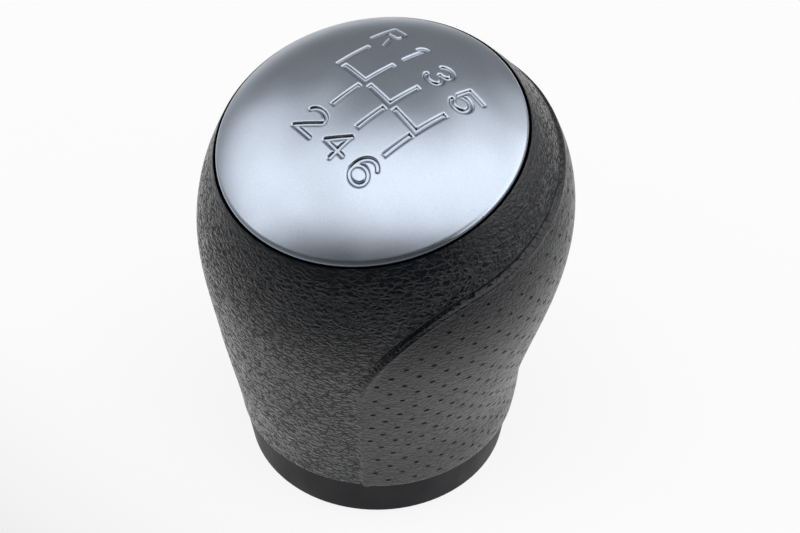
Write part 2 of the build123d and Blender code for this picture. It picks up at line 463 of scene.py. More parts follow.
@dataclass(frozen=True)
class SatinSilver:
    """Satin silver plating with a fine mist in it, polished round its rim, with painted shade darkening the walls
    of its signs.
    """

    dark: Colour = (0.42, 0.475, 0.555)
    pale: Colour = (0.59, 0.655, 0.755)
    mist: float = 0.2
    depth: float = 0.0025
    cloud: float = 4.0
    roughness: Pair = (0.30, 0.34)
    polish: float = 0.2
    wall_band: Pair = (0.65, 0.4)
    rim_edge: Pair = (0.25, 0.55)
    painted_wall_shade: float = 0.75

    def make(self) -> Material:
        """Metal whose gloss drifts in soft clouds, with a mist of tiny bumps and tones.

        The walls of the signs are a hump of how far the cap's points are pressed in, and their colour is darkened
        there as painted shade.

        Returns:
            The material.
        """
        sketch = NodeSketch.material("satin_silver")
        place = sketch.place()
        mist = sketch.noise(place, self.mist, 2.0)
        walls = sketch.crest(sketch.mark("pressed"), *self.wall_band)
        # Painted shade: the colour is darkened in the walls of the pressed signs.
        shade = sketch.span(walls, 0.0, 1.0, 1.0, 1.0 - self.painted_wall_shade)
        colour = sketch.vector("SCALE", sketch.tint(mist, self.dark, self.pale), shade)
        clouds = sketch.span(sketch.noise(place, self.cloud, 3.0), *NOISE_RANGE, *self.roughness)
        polished = sketch.highest(walls, sketch.span(sketch.mark("rim"), *self.rim_edge, 0.0, 1.0))
        rough = sketch.total(clouds, sketch.span(polished, 0.0, 1.0, 0.0, -self.polish))
        return sketch.finish(colour, rough, mist, self.depth * MM, Metallic=1.0)


@dataclass(frozen=True)
class MouldedPlastic:
    """Hard dark plastic with the fine matt texture of its mould."""

    dark: Colour = (0.001, 0.001, 0.003)
    pale: Colour = (0.002, 0.002, 0.005)
    refraction: float = 1.22
    spark: float = 0.16
    depth: float = 0.012
    drift: float = 5.5556
    roughness: Pair = (0.42, 0.52)

    def make(self) -> Material:
        """A spark-eroded matt texture: fine noise in the bump, and a slow drift in tone and gloss.

        Returns:
            The material.
        """
        sketch = NodeSketch.material("moulded_plastic")
        place = sketch.place()
        spark = sketch.noise(place, self.spark, 2.0)
        drift = sketch.noise(place, self.drift, 3.0)
        rough = sketch.span(drift, *NOISE_RANGE, *self.roughness)
        colour = sketch.tint(drift, self.dark, self.pale)
        return sketch.finish(colour, rough, spark, self.depth * MM, IOR=self.refraction)


@dataclass(frozen=True)
class TurnedBrass:
    """Brass with fine lathe rings about the lever's axis and a little tarnish."""

    clean: Colour = (0.72, 0.55, 0.27)
    tarnish: Colour = (0.42, 0.29, 0.13)
    tarnish_edge: Pair = (0.35, 0.75)
    patch: float = 3.125
    ring: float = 0.22
    wave: float = 0.314
    wobble: float = 0.6
    depth: float = 0.006
    roughness: Pair = (0.24, 0.42)

    def make(self) -> Material:
        """Rings about Z from a wave in the bump, which is 0.314 long at a scale of 1, and tarnish from soft noise.

        Returns:
            The material.
        """
        sketch = NodeSketch.material("turned_brass")
        place = sketch.place()
        kind = {"wave_type": "RINGS", "rings_direction": "Z"}
        scale = self.wave / (self.ring * MM)
        rings = sketch.add("TexWave", kind, Vector=place, Scale=scale, Distortion=self.wobble).outputs["Fac"]
        patch = sketch.noise(place, self.patch, 4.0)
        colour = sketch.tint(sketch.span(patch, *self.tarnish_edge, 0.0, 1.0), self.clean, self.tarnish)
        rough = sketch.span(patch, *NOISE_RANGE, *self.roughness)
        return sketch.finish(colour, rough, rings, self.depth * MM, Metallic=1.0)


# Sub-assemblies, with their sizes in millimetres and degrees


@dataclass(frozen=True)
class CapFrame:
    """The cap's own axes: u to the right, v up the tilted face, w out of it."""

    rim_height: float = 66.2
    setback: float = 0.8
    tilt: float = 10.7

    def place(self, u: Sizes, v: Sizes, w: Sizes) -> Array:
        """Carries cap coordinates over to the knob: the rim's centre plus u, v and w along the cap's axes.

        Args:
            u: Places to the right.
            v: Places up the face.
            w: Places out of it.

        Returns:
            Points, with one more axis.
        """
        sine, cosine = sine_cosine(self.tilt)
        u, v, w = np.broadcast_arrays(u, v, w)
        height = self.rim_height + v * sine + w * cosine
        return np.stack([u, v * cosine - w * sine - self.setback, height], axis=-1)

    def ring(self, turn: Array, radius: float, w: float) -> Array:
        """A circle about the cap's axis, at a height w over its rim."""
        return self.place(radius * np.cos(turn), radius * np.sin(turn), w)


@dataclass(frozen=True)
class Section:
    """One round section of the grip."""

    height: float
    radius: float
    lean: float


@dataclass(frozen=True)
class GripForm:
    """The grip's smooth outer form: circles on a lifting, leaning and tipping plane.

    A share of 0 is the grip's foot and 1 the cap's rim. The plane's tilt grows as a power of the share.
    """

    cap: CapFrame
    sections: tuple[Section, ...] = (
        Section(8.3, 22.9, 0.0),
        Section(12.5, 23.5, 0.0),
        Section(17.3, 24.1, -0.27),
        Section(24.1, 25.5, -0.1),
        Section(33.1, 27.7, 0.8),
        Section(49.3, 30.2, 1.8),
        Section(58.9, 28.5, 1.15),
    )
    lip_radius: float = 25.2
    lip_drop: float = 0.5
    tilt_growth: float = 2.6
    table_steps: int = 4001
    slope_step: float = 2e-3

    @property
    def foot_height(self) -> float:
        """Height of the grip's foot."""
        return self.sections[0].height

    @property
    def rise(self) -> float:
        """Height from the grip's foot to the cap's rim."""
        return self.cap.rim_height - self.foot_height

    @property
    def lip_share(self) -> float:
        """Share at which the form ends under the cap's rim."""
        return 1.0 - self.lip_drop * math.cos(math.radians(self.cap.tilt)) / self.rise

    def knots(self) -> tuple[Array, Array]:
        """Lines up the sections and the lip along the profile.

        Returns:
            Their places along it, and each one's height, radius, lean and tilt.
        """
        rows = [(s.height, s.radius, s.lean) for s in self.sections]
        tilt = math.radians(self.cap.tilt)
        lip_lean = self.lip_drop * math.sin(tilt) - self.cap.setback
        rows.append((self.foot_height + self.lip_share * self.rise, self.lip_radius, lip_lean))
        sizes = np.array(rows)
        share = (sizes[:, 0] - self.foot_height) / self.rise
        share[-1] = 1.0
        tilts = tilt * share**self.tilt_growth
        steps = np.hypot(np.diff(sizes[:, 0]), np.diff(sizes[:, 1]))
        return np.concatenate([[0.0], np.cumsum(steps)]), np.column_stack([sizes, tilts])

    def sizes(self, share: Array) -> list[Array]:
        """Reads splines through the sections, which run along the profile, at shares of the height.

        Args:
            share: Shares of the height.

        Returns:
            Radius, lean and tilt there.
        """
        places, sizes = self.knots()
        table = spline_through(places, sizes, np.linspace(0.0, places[-1], self.table_steps))
        height = self.foot_height + share * self.rise
        return [np.interp(height, table[:, 0], table[:, k]) for k in (1, 2, 3)]

    def at(self, turn: Array, share: Array) -> Array:
        """Points of the form: at a share the plane is known, and the point lies on its circle at the turn.

        Args:
            turn: Angles about the lever's axis, from +X towards +Y.
            share: Shares of the height, of the same shape.

        Returns:
            Points, with one more axis.
        """
        radius, lean, tilt = self.sizes(share)
        height = self.foot_height + share * self.rise
        across = radius * np.sin(turn)
        points = [radius * np.cos(turn), lean + across * np.cos(tilt), height + across * np.sin(tilt)]
        return np.stack(points, axis=-1)

    def slopes(self, turn: Array, share: Array) -> tuple[Array, Array]:
        """Finds how the form runs, from small steps both ways.

        Args:
            turn: Angles about the lever's axis.
            share: Shares of the height.

        Returns:
            Its run per radian of turn and per unit of share.
        """
        step = self.slope_step
        along = (self.at(turn + step, share) - self.at(turn - step, share)) / (2.0 * step)
        low, high = (np.clip(share + way * step, 0.0, self.lip_share) for way in (-1, 1))
        up = (self.at(turn, high) - self.at(turn, low)) / (high - low)[..., None]
        return along, up


@dataclass(frozen=True)
class SeamLine:
    """The seam in side view: a leaning rear line, a rounded corner, and an upper line along the cap's rim."""

    form: GripForm
    foot_setback: float = 15.9
    lean: float = 7.3
    drop: float = 9.6
    tilt: float = 12.5
    corner: float = 20.0
    steepest: float = 0.93

    def measure(self, points: Array, normals: Array) -> tuple[Array, Array]:
        """Where points of the grip lie from the seam.

        In side view the distance is to the nearer line, or to the corner's arc for points that face it. Seen along
        the skin it is longer, by one over the sine between the skin's normal and the seam's own.

        Args:
            points: Points of the skin.
            normals: The skin's normals there.

        Returns:
            Distance over the skin, positive on the panel, and the turn round the corner in degrees, which is 0 at
            the upper line.
        """
        sine, cosine = sine_cosine(self.lean)
        rear_in = np.array([cosine, sine])
        sine, cosine = sine_cosine(self.tilt)
        upper_in = np.array([sine, -cosine])
        cap = self.form.cap
        rear_at = np.array([-self.foot_setback, self.form.foot_height])
        upper_at = np.array([-cap.setback, cap.rim_height]) + self.drop * upper_in
        side = points[..., 1:]
        rear = (side - rear_at) @ rear_in
        upper = (side - upper_at) @ upper_in
        both = np.stack([rear_in, upper_in])
        centre = np.linalg.solve(both, self.corner + np.array([rear_at @ rear_in, upper_at @ upper_in]))
        away = side - centre
        length = np.maximum(np.linalg.norm(away, axis=-1), TINY)
        faces_arc = (away @ np.linalg.inv(-both) > 0.0).all(axis=-1)
        gap = np.where(faces_arc, self.corner - length, np.minimum(rear, upper))
        inward = np.where((rear < upper)[..., None], rear_in, upper_in)
        inward = np.where(faces_arc[..., None], -away / length[..., None], inward)
        lost = np.clip((inward * normals[..., 1:]).sum(axis=-1), -self.steepest, self.steepest)
        turn = np.degrees(np.arctan2(-away @ np.array([cosine, sine]), -away @ upper_in))
        return gap / np.sqrt(1.0 - lost**2), turn


@dataclass
class GripBody:
    """The soft grip: one closed skin with its grain, dimpled panel, fold, hem and rolled lip.

    Each band is the centre and half width of a hump beside the seam, or up the grip's height.
    """

    form: GripForm
    seam: SeamLine
    columns: int = 84
    cells: int = 6
    first_column: float = -36.0
    anchor_share: float = 0.528
    row_share: float = 0.0757
    column_girth: float = 29.0
    foot_sway: float = -3.2
    sway_shares: Pair = (0.25, 0.03)
    row_sag: Pair = (0.017, 0.021)
    sag_band: Pair = (0.47, 0.42)
    dimple_rings: Pair = (0.34, 0.54)
    dimple_flatness: float = 0.6
    dimple_depths: tuple[float, ...] = (0.19, 0.145, 0.0)
    dimple_margin: float = 1.5
    dimple_foot: float = 0.03
    panel_rise: float = 0.30
    panel_edge: float = 0.35
    panel_grain: float = 0.38
    grain_edge: float = 0.6
    fold_depth: float = 0.62
    fold_band: Pair = (-0.38, 0.72)
    fold_fade: Pair = (22.0, 72.0)
    fold_thinning: Pair = (14.0, -34.0)
    fold_loss: float = 0.62
    fold_smoothing: float = 0.75
    smooth_band: Pair = (-0.4, 1.1)
    bead_rise: float = 0.14
    bead_band: Pair = (-1.3, 0.85)
    ridge_rise: float = 0.22
    ridge_band: Pair = (0.35, 1.0)
    lip_smoothing: float = 0.6
    lip_shares: Pair = (0.90, 0.98)
    lip_profile: tuple[Pair, ...] = (
        (25.16, -0.49),
        (25.09, -0.55),
        (25.05, -0.72),
        (25.05, -1.4),
        (25.05, -2.6),
        (25.05, -5.6),
    )
    hem_profile: tuple[Pair, ...] = ((0.45, 0.0), (0.14, 0.05), (0.03, 0.19))
    stem_radius: float = 20.0
    stem_draft: float = 1.0
    flange_depth: float = 5.6
    sharp_angle: float = 75.0

    @property
    def rows_below(self) -> int:
        """Rows of the grid under the row that the dimples are counted from."""
        return int(self.anchor_share * 2 * self.cells / self.row_share)

    def grid(self) -> tuple[Array, Array]:
        """Lays the skin's grid so that every dimple has a point at its middle.

        The dimples keep their distance as the grip narrows, so their columns fan out: each turn moves by the
        change in girth times a sine over the panel, which is straight near its rear edges and dies out at the
        front. Near the foot the columns sway back to the rear edge, and at half height the rows sag, more towards
        the front.

        Returns:
            Turns and shares, row by row.
        """
        step = self.row_share / (2 * self.cells)
        above = int((self.form.lip_share - self.anchor_share) / step)
        share = self.anchor_share + step * np.arange(-self.rows_below, above + 1)
        count = self.columns * self.cells
        lead, share = np.meshgrid(FULL_TURN * np.arange(count) / count, share)
        first = math.radians(self.first_column)
        span = math.pi - 2.0 * first
        on_panel = lead < span
        fan = np.where(on_panel, span / FULL_TURN * np.sin(FULL_TURN * lead / span), 0.0)
        swing = -np.cos(math.pi * (lead - span) / (FULL_TURN - span))
        swing = np.where(on_panel, np.cos(math.pi * lead / span), swing)
        narrow = self.column_girth / self.form.sizes(share)[0] - 1.0
        sway = math.radians(self.foot_sway) * smooth_step(*self.sway_shares, share) * swing
        forward = np.where(on_panel, np.sin(math.pi * lead / span), 0.0)
        sag = (self.row_sag[0] + self.row_sag[1] * forward) * hump(*self.sag_band, share)
        return first + lead + narrow * fan + sway, share - sag

    def dimples(self, turns: Array, shares: Array) -> tuple[Array, Array, Array, Array]:
        """Draws the grid's points into rings round each dimple of the panel.

        Dimples sit on every second crossing of the columns and half rows. The points one and two steps from such
        a crossing go to two flat rings round it, at the same angle, and the crossing itself stays.

        Args:
            turns: Turns of the even grid.
            shares: Shares of the even grid.

        Returns:
            The moved turns and shares, how deep each point is pressed in, and whether it lies on a dimple's rim.
        """
        rows, count = turns.shape
        half, rings = self.cells // 2, len(self.dimple_rings)
        j, i = np.meshgrid(np.arange(rows) - self.rows_below, np.arange(count), indexing="ij")
        row, column = (j + half) // self.cells, (i + half) // self.cells
        crossing = row * self.cells + self.rows_below
        middle = np.clip(crossing, 0, rows - 1), column * self.cells % count
        off_j, off_i = j - row * self.cells, i - column * self.cells
        ring = np.maximum(np.abs(off_j), np.abs(off_i))
        along, up = self.form.slopes(turns, shares)
        gap, _ = self.seam.measure(self.form.at(turns, shares), outward(along, up))
        open_here = (gap > self.dimple_margin) & (shares > self.dimple_foot)
        dimpled = open_here[middle] & ((row + column) % 2 == 0) & (middle[0] == crossing)
        step = np.minimum(ring, rings + 1)
        radius = np.array([0.0, *self.dimple_rings, 0.0])[step]
        depth = np.array([*self.dimple_depths, 0.0])[step]
        angle = np.arctan2(off_j, off_i)
        moved = dimpled & (ring > 0) & (ring <= rings)
        per_turn, per_share = (np.linalg.norm(slope, axis=-1)[middle] for slope in (along, up))
        mid_turn = turns[middle] + FULL_TURN * (column * self.cells >= count)
        new_turn = mid_turn + radius * np.cos(angle) / per_turn
        new_share = shares[middle] + self.dimple_flatness * radius * np.sin(angle) / per_share
        turns, shares = np.where(moved, new_turn, turns), np.where(moved, new_share, shares)
        return turns, shares, np.where(dimpled, depth, 0.0), moved & (ring == rings)

    def fold(self, corner_turn: Array) -> Array:
        """Strength of the fold: full where the corner begins, fading round it and weaker along the upper line."""
        loss = self.fold_loss * smooth_step(*self.fold_thinning, corner_turn)
        return (1.0 - smooth_step(*self.fold_fade, corner_turn)) * (1.0 - loss)

    def relief(self, gap: Array, fold: Array) -> Array:
        """Height of the moulded relief over the smooth form.

        The panel stands a little proud. Along the fold a groove runs just outside it, with a soft bead beyond. The
        fold fades out round the corner, and down the rear line only a small ridge marks the panel's edge.

        Args:
            gap: Distance from the seam over the skin, positive on the panel.
            fold: Strength of the fold.

        Returns:
            Heights.
        """
        panel = self.panel_rise * smooth_step(-self.panel_edge, self.panel_edge, gap)
        groove = self.fold_depth * hump(*self.fold_band, gap)
        bead = self.bead_rise * hump(*self.bead_band, gap)
        ridge = self.ridge_rise * hump(*self.ridge_band, gap)
        return panel + fold * (bead - groove) + (1.0 - fold) * ridge

    def grain(self, gap: Array, fold: Array, shares: Array) -> Array:
        """Weight of the grain: full on the driver's side, fine on the panel, smooth in the fold and under the lip.

        Args:
            gap: Distance from the seam over the skin, positive on the panel.
            fold: Strength of the fold.
            shares: Shares of the height.

        Returns:
            Weights from 0 to 1.
        """
        weight = 1.0 - (1.0 - self.panel_grain) * smooth_step(-self.grain_edge, self.grain_edge, gap)
        beside_fold = 1.0 - self.fold_smoothing * fold * hump(*self.smooth_band, gap)
        return weight * beside_fold * (1.0 - self.lip_smoothing * smooth_step(*self.lip_shares, shares))

    def stem(self, flat: Array) -> tuple[Array, Array]:
        """The grip's inside against the core: a drafted cone from its foot up to the core's tilted flange.

        Args:
            flat: Level directions outwards, one for each column.

        Returns:
            The ring at the foot and the ring under the flange.
        """
        cap, upright = self.form.cap, np.array(UPWARD)
        tilt = math.radians(cap.tilt)
        narrowing = (self.form.rise - self.flange_depth) * math.tan(math.radians(self.stem_draft))
        top = flat * (self.stem_radius - narrowing)
        level = cap.rim_height - self.flange_depth / math.cos(tilt)
        rise = level + (top[:, 1:2] + cap.setback) * math.tan(tilt)
        return flat * self.stem_radius + upright * self.form.foot_height, top + upright * rise

    def build(self, finish: Material) -> Object:
        """Makes the skin as one closed loop of rows: hem, outer form, lip, and back down against the core.

        Args:
            finish: The skin's material.

        Returns:
            The piece.
        """
        turns, shares, pressed, rims = self.dimples(*self.grid())
        normals = outward(*self.form.slopes(turns, shares))
        smooth = self.form.at(turns, shares)
        gap, corner_turn = self.seam.measure(smooth, normals)
        fold = self.fold(corner_turn)
        outer = smooth + normals * (self.relief(gap, fold) - pressed)[..., None]
        flat = around(1.0, turns[0], 0.0)
        level = outer[0] * np.array([1.0, 1.0, 0.0])
        foot = level + np.array(UPWARD) * self.form.foot_height
        hem = [foot - flat * inset + np.array(UPWARD) * lift for inset, lift in self.hem_profile]
        lip = [self.form.cap.ring(turns[-1], radius, w) for radius, w in self.lip_profile]
        stem_foot, stem_top = self.stem(flat)
        rows = np.stack([stem_foot, *hem, *outer, *lip, stem_top])
        piece = Shell.of_loop(rows).to_object("grip_skin", self.sharp_angle)
        nearest = np.clip(np.arange(len(rows)) - 1 - len(hem), 0, len(outer) - 1)
        marks = {"grain": self.grain(gap, fold, shares), "seam_gap": gap, "fold": fold}
        for name, values in marks.items():
            write_mark(piece, name, values[nearest])
        sharpen(piece.data, rims[nearest].ravel())
        return settle(piece, finish, "grip_body")


class GearSign(Enum):
    """The plain signs on the cap."""

    REVERSE = "R"
    FIRST = "1"
    SECOND = "2"
    THIRD = "3"
    FOURTH = "4"
    FIFTH = "5"
    SIXTH = "6"

    def strokes(self) -> list[Stroke]:
        """Draws the sign in a box one wide and one high.

        Returns:
            Centre lines of its strokes.
        """
        if self is GearSign.REVERSE:
            bowl = [line((0.0, 1.0)), arc((0.68, 0.785), (0.27, 0.215), 90, -90), line((0.0, 0.57))]
            return [line((0.0, 0.0), (0.0, 1.0)), np.concatenate(bowl), line((0.62, 0.56), (1.0, 0.0))]
        if self is GearSign.FIRST:
            return [line((1.0, 0.0), (1.0, 1.0)), arc((1.0, 0.78), (1.0, 0.22), 90, 180)]
        if self is GearSign.SECOND:
            return [np.concatenate([arc((0.5, 0.74), (0.48, 0.26), 165, -28), line((0.0, 0.0), (1.0, 0.0))])]
        if self is GearSign.THIRD:
            return [arc((0.5, 0.765), (0.46, 0.235), 158, -90), arc((0.5, 0.265), (0.5, 0.265), 90, -158)]
        if self is GearSign.FOURTH:
            return [line((0.70, 1.0), (0.0, 0.33), (1.0, 0.33)), line((0.68, 1.0), (0.68, 0.0))]
        if self is GearSign.FIFTH:
            bowl = arc((0.5, 0.31), (0.5, 0.31), 150, -152, 30)
            return [np.concatenate([line((1.0, 1.0), (0.04, 1.0), (0.02, 0.5)), bowl])]
        return [arc((0.5, 0.31), (0.5, 0.31), 0, 360, 36), arc((0.62, 0.40), (0.62, 0.60), 190, 52)]


@dataclass(frozen=True)
class SignPlace:
    """Where a sign stands on the cap: the box of its strokes' centre lines, in cap coordinates."""

    sign: GearSign
    left: float
    right: float
    foot: float
    top: float

    def strokes(self) -> list[Stroke]:
        """The sign's strokes stretched into its box."""
        size = np.array([self.right - self.left, self.top - self.foot])
        return [np.array([self.left, self.foot]) + stroke * size for stroke in self.sign.strokes()]


@dataclass(frozen=True)
class ShiftGate:
    """The pressed-in shift gate: columns, the bars that lead into them, and the lower legs."""

    reverse_column: float = -8.94
    drive_columns: tuple[float, ...] = (-2.25, 3.99, 10.29)
    bar_starts: tuple[float, ...] = (-7.50, -0.70, 5.52)
    bar_level: float = 2.4
    top: float = 7.62
    reverse_foot: float = 2.3
    leg_top: float = 1.0
    leg_foot: float = -3.55
    turn: float = -1.0

    def strokes(self) -> list[Stroke]:
        """Draws the gate, turned a little about the cap's middle as it was pressed.

        Returns:
            Centre lines of its strokes.
        """
        column = self.reverse_column
        strokes = [line((column, self.reverse_foot), (column, self.top))]
        for start, column in zip(self.bar_starts, self.drive_columns):
            strokes.append(line((start, self.bar_level), (column, self.bar_level), (column, self.top)))
            strokes.append(line((column, self.leg_top), (column, self.leg_foot)))
        sine, cosine = sine_cosine(self.turn)
        return [stroke @ np.array([[cosine, sine], [-sine, cosine]]) for stroke in strokes]


@dataclass
class ShiftCap:
    """Domed cap with a rolled rim, pressed-in signs, a skirt and three clips inside."""

    cap: CapFrame
    gate: ShiftGate
    signs: tuple[SignPlace, ...] = (
        SignPlace(GearSign.REVERSE, -10.6, -7.2, 10.1, 14.4),
        SignPlace(GearSign.FIRST, -3.05, -2.15, 10.1, 14.4),
        SignPlace(GearSign.THIRD, 2.25, 5.2, 10.1, 14.35),
        SignPlace(GearSign.FIFTH, 8.3, 11.3, 10.05, 14.25),
        SignPlace(GearSign.SECOND, -4.6, -0.65, -10.05, -5.75),
        SignPlace(GearSign.FOURTH, 1.75, 5.8, -10.15, -5.7),
        SignPlace(GearSign.SIXTH, 8.2, 11.3, -10.25, -5.75),
    )
    radius: float = 24.8
    dome_radius: float = 36.3
    rim_round: float = 1.8
    skirt: float = 2.6
    wall: float = 1.3
    patch_u: Pair = (-12.2, 12.6)
    patch_v: Pair = (-11.6, 15.6)
    spacing: float = 0.118
    lead_rows: int = 11
    rim_rows: int = 16
    roof_rows: int = 9
    roof_middle: float = 0.8
    gate_half_width: float = 0.41
    sign_half_width: float = 0.35
    wall_run: float = 0.21
    pressed: float = 0.44
    clip_turns: tuple[float, ...] = (30.0, 150.0, 270.0)
    clip_circle: float = 12.0
    clip_thickness: float = 1.6
    clip_width: float = 5.0
    clip_root: float = 6.7
    hook_depth: float = 5.7
    hook_length: float = 2.6
    hook_reach: float = 1.5
    sharp_angle: float = 80.0

    @property
    def dome_offset(self) -> float:
        """How far the dome's centre lies under the rim."""
        return math.sqrt(self.dome_radius**2 - self.radius**2)

    def relief(self, points: Array) -> Array:
        """How far the lines are pressed in, easing from 1 inside a stroke to 0 over the wall's run.

        Args:
            points: Points on the flat, in cap coordinates.

        Returns:
            Shares of the full depth.
        """
        gate = nearest_stroke(points, self.gate.strokes(), square=True) - self.gate_half_width
        strokes = [stroke for place in self.signs for stroke in place.strokes()]
        signs = nearest_stroke(points, strokes) - self.sign_half_width
        return 1.0 - smooth_step(-self.wall_run, self.wall_run, np.minimum(gate, signs))

    def profile(self) -> Array:
        """The section of the rings outside the patch: rolled rim, skirt, its lower edge and the inside.

        Returns:
            Radius and height of each ring.
        """
        offset, inner = self.dome_offset, self.radius - self.wall
        centre_r = self.radius - self.rim_round
        centre_w = math.sqrt((self.dome_radius - self.rim_round) ** 2 - centre_r**2) - offset
        start = math.degrees(math.atan2(centre_w + offset, centre_r))
        rim = arc((centre_r, centre_w), (self.rim_round, self.rim_round), start, 0.0, self.rim_rows)
        edge = [(self.radius, -self.skirt), (inner, -self.skirt)]
        inside = np.linspace(inner, self.roof_middle, self.roof_rows)
        roof = np.stack([inside, np.sqrt((self.dome_radius - self.wall) ** 2 - inside**2) - offset], axis=-1)
        return np.concatenate([rim, edge, roof])

    def shell(self) -> tuple[Shell, Array, Array]:
        """The cap's shell.

        A fine rectangular grid carries the signs on the dome. Its border is led out in rings to the rolled rim,
        each point along its own spoke, and on round the skirt to the middle of the inside.

        Returns:
            One closed shell, how far its first points are pressed in, and each point's place on the rolled rim.
        """
        u, v = (
            np.linspace(low, high, round((high - low) / self.spacing) + 1)
            for low, high in (self.patch_u, self.patch_v)
        )
        rows, columns = len(v), len(u)
        flat = np.stack(np.meshgrid(u, v), axis=-1).reshape(-1, 2)
        reach = np.sqrt(self.dome_radius**2 - (flat * flat).sum(axis=-1))
        relief = self.relief(flat)
        shrink = 1.0 - self.pressed * relief / self.dome_radius
        patch = self.cap.place(flat[:, 0] * shrink, flat[:, 1] * shrink, reach * shrink - self.dome_offset)
        number = np.arange(rows * columns).reshape(rows, columns)
        border = np.concatenate([number[0, :-1], number[:-1, -1], number[-1, :0:-1], number[:0:-1, 0]])
        count, edge, profile = len(border), flat[border], self.profile()
        turn, spoke = np.arctan2(edge[:, 1], edge[:, 0]), np.linalg.norm(edge, axis=-1)
        lead = np.linspace(0.0, 1.0, self.lead_rows + 2)[1:-1, None]
        radii = spoke + (profile[0, 0] - spoke) * lead
        heights = np.sqrt(self.dome_radius**2 - radii**2) - self.dome_offset
        radii = np.concatenate([radii, np.repeat(profile[:, :1], count, axis=1)])
        heights = np.concatenate([heights, np.repeat(profile[:, 1:], count, axis=1)])
        rings = self.cap.place(radii * np.cos(turn), radii * np.sin(turn), heights).reshape(-1, 3)
        middle = self.cap.place(0.0, 0.0, self.dome_radius - self.wall - self.dome_offset)
        led = np.concatenate([border, len(patch) + np.arange(len(rings))])
        quads = led[weave(len(led) // count, count, flip=True)]
        last = led[-count:]
        fan = np.stack([last, np.full(count, len(patch) + len(rings)), np.roll(last, -1)], axis=-1)
        faces = weave(rows, columns, close_columns=False).tolist() + quads.tolist() + fan.tolist()
        rolled = np.zeros(len(radii))
        rolled[len(lead) : len(lead) + self.rim_rows] = np.linspace(0.0, 1.0, self.rim_rows)
        rim = np.concatenate([np.zeros(len(patch)), np.repeat(rolled, count)])
        return Shell(np.concatenate([patch, rings, middle[None]]), faces), relief, rim

    def clip(self, turn: float) -> Shell:
        """One clip: a leg and its hook as a flat outline, pushed both ways to the clip's width.

        Args:
            turn: Place of the clip about the cap's axis, in degrees.

        Returns:
            One closed shell.
        """
        near, far = (self.clip_circle + way * self.clip_thickness / 2 for way in (-1, 1))
        low, tip = -self.hook_depth - self.hook_length, far + self.hook_reach
        corners = [(near, low), (far, low), (tip, -self.hook_depth), (far, -self.hook_depth)]
        outline = np.array(corners + [(far, self.clip_root), (near, self.clip_root)])
        count = len(outline)
        side = np.repeat([-self.clip_width / 2, self.clip_width / 2], count)
        out, w = np.tile(outline, (2, 1)).T
        sine, cosine = sine_cosine(turn)
        points = self.cap.place(out * cosine - side * sine, out * sine + side * cosine, w)
        ends = [list(range(count)), list(range(2 * count - 1, count - 1, -1))]
        return Shell(points, weave(2, count, flip=True).tolist() + ends)

    def build(self, finish: Material) -> Object:
        """Joins the shell and its clips into one piece.

        Args:
            finish: The cap's material.

        Returns:
            The piece.
        """
        shell, pressed, rim = self.shell()
        whole = reduce(Shell.joined, [self.clip(turn) for turn in self.clip_turns], shell)
        piece = whole.to_object("silver_cap", self.sharp_angle)
        write_mark(piece, "pressed", pressed)
        write_mark(piece, "rim", rim)
        return settle(piece, finish, "shift_pattern_cap")


@dataclass
class ThreadedBush:
    """Hexagonal bush with a keying groove and a cut thread for the lever."""

    base: float = 12.0
    length: float = 20.0
    across_flats: float = 13.0
    edge_break: float = 0.3
    groove_width: float = 3.0
    groove_depth: float = 0.8
    thread_radius: float = 5.0
    minor_radius: float = 4.323
    pitch: float = 1.25
    flank_end: float = 6 / 16
    flank_run: float = 5 / 16
    lead_radius: float = 5.4
    columns: int = 96
    rows_per_pitch: int = 10
    sharp_angle: float = 32.0

    def outside(self, turn: Array) -> Array:
        """The outside from the lower edge up: flats, the round groove, flats and the upper edge.

        A flat's radius is half the width across flats over the cosine of the turn from its middle.

        Args:
            turn: Angles about the lever's axis.

        Returns:
            Rows of points.
        """
        flats = self.across_flats / 2 / np.cos(np.mod(turn, math.pi / 3) - math.pi / 6)
        neck = np.full_like(turn, self.across_flats / 2 - self.groove_depth)
        top, step = self.base + self.length, self.edge_break
        low = self.base + (self.length - self.groove_width) / 2
        high = low + self.groove_width
        radii = [flats - step, flats, flats, neck, neck, flats, flats, flats - step]
        heights = [self.base, self.base + step, low, low, high, high, top - step, top]
        return around(np.stack(radii), turn, np.array(heights)[:, None])

    def bore(self, turn: Array) -> Array:
        """The thread from the top down to its lead-in.

        The radius follows a sharp groove with flats, as a function of the height in pitches less the turn: the
        root for a sixteenth each way, then the flank over five sixteenths down to the minor radius.

        Args:
            turn: Angles about the lever's axis.

        Returns:
            Rows of points.
        """
        foot = self.base + self.lead_radius - self.minor_radius
        top = self.base + self.length
        count = round((top - foot) / self.pitch * self.rows_per_pitch)
        height = np.linspace(top, foot, count + 1)[:, None]
        phase = np.mod(height / self.pitch - turn / FULL_TURN, 1.0) - 0.5
        flank = np.clip((self.flank_end - np.abs(phase)) / self.flank_run, 0.0, 1.0)
        radii = self.minor_radius + (self.thread_radius - self.minor_radius) * flank
        radii = np.concatenate([radii, np.full((1, len(turn)), self.lead_radius)])
        return around(radii, turn, np.concatenate([height, [[self.base]]]))

    def build(self, finish: Material) -> Object:
        """Closes the outside and the bore into one ring-shaped shell.

        Args:
            finish: The bush's material.

        Returns:
            The piece.
        """
        turn = FULL_TURN * np.arange(self.columns) / self.columns
        shell = Shell.of_loop(np.concatenate([self.outside(turn), self.bore(turn)]))
        piece = shell.to_object("threaded_bush", self.sharp_angle)
        return settle(piece, finish, "threaded_insert")


@dataclass
class CoreMoulding:
    """The hard core, whose solid is shown as it is."""

    node: str = "core"

    def dress(self, finish: Material) -> Object:
        """Gives the core its finish.

        Args:
            finish: The core's material.

        Returns:
            The solid's own object.
        """
        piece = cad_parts[self.node]
        piece.data.materials.clear()
        piece.data.materials.append(finish)
        return piece


class Hang(Enum):
    """Where a lamp hangs: over the table, or on its left or right as the camera sees it."""

    OVERHEAD = 0
    LEFT = -1
    RIGHT = 1


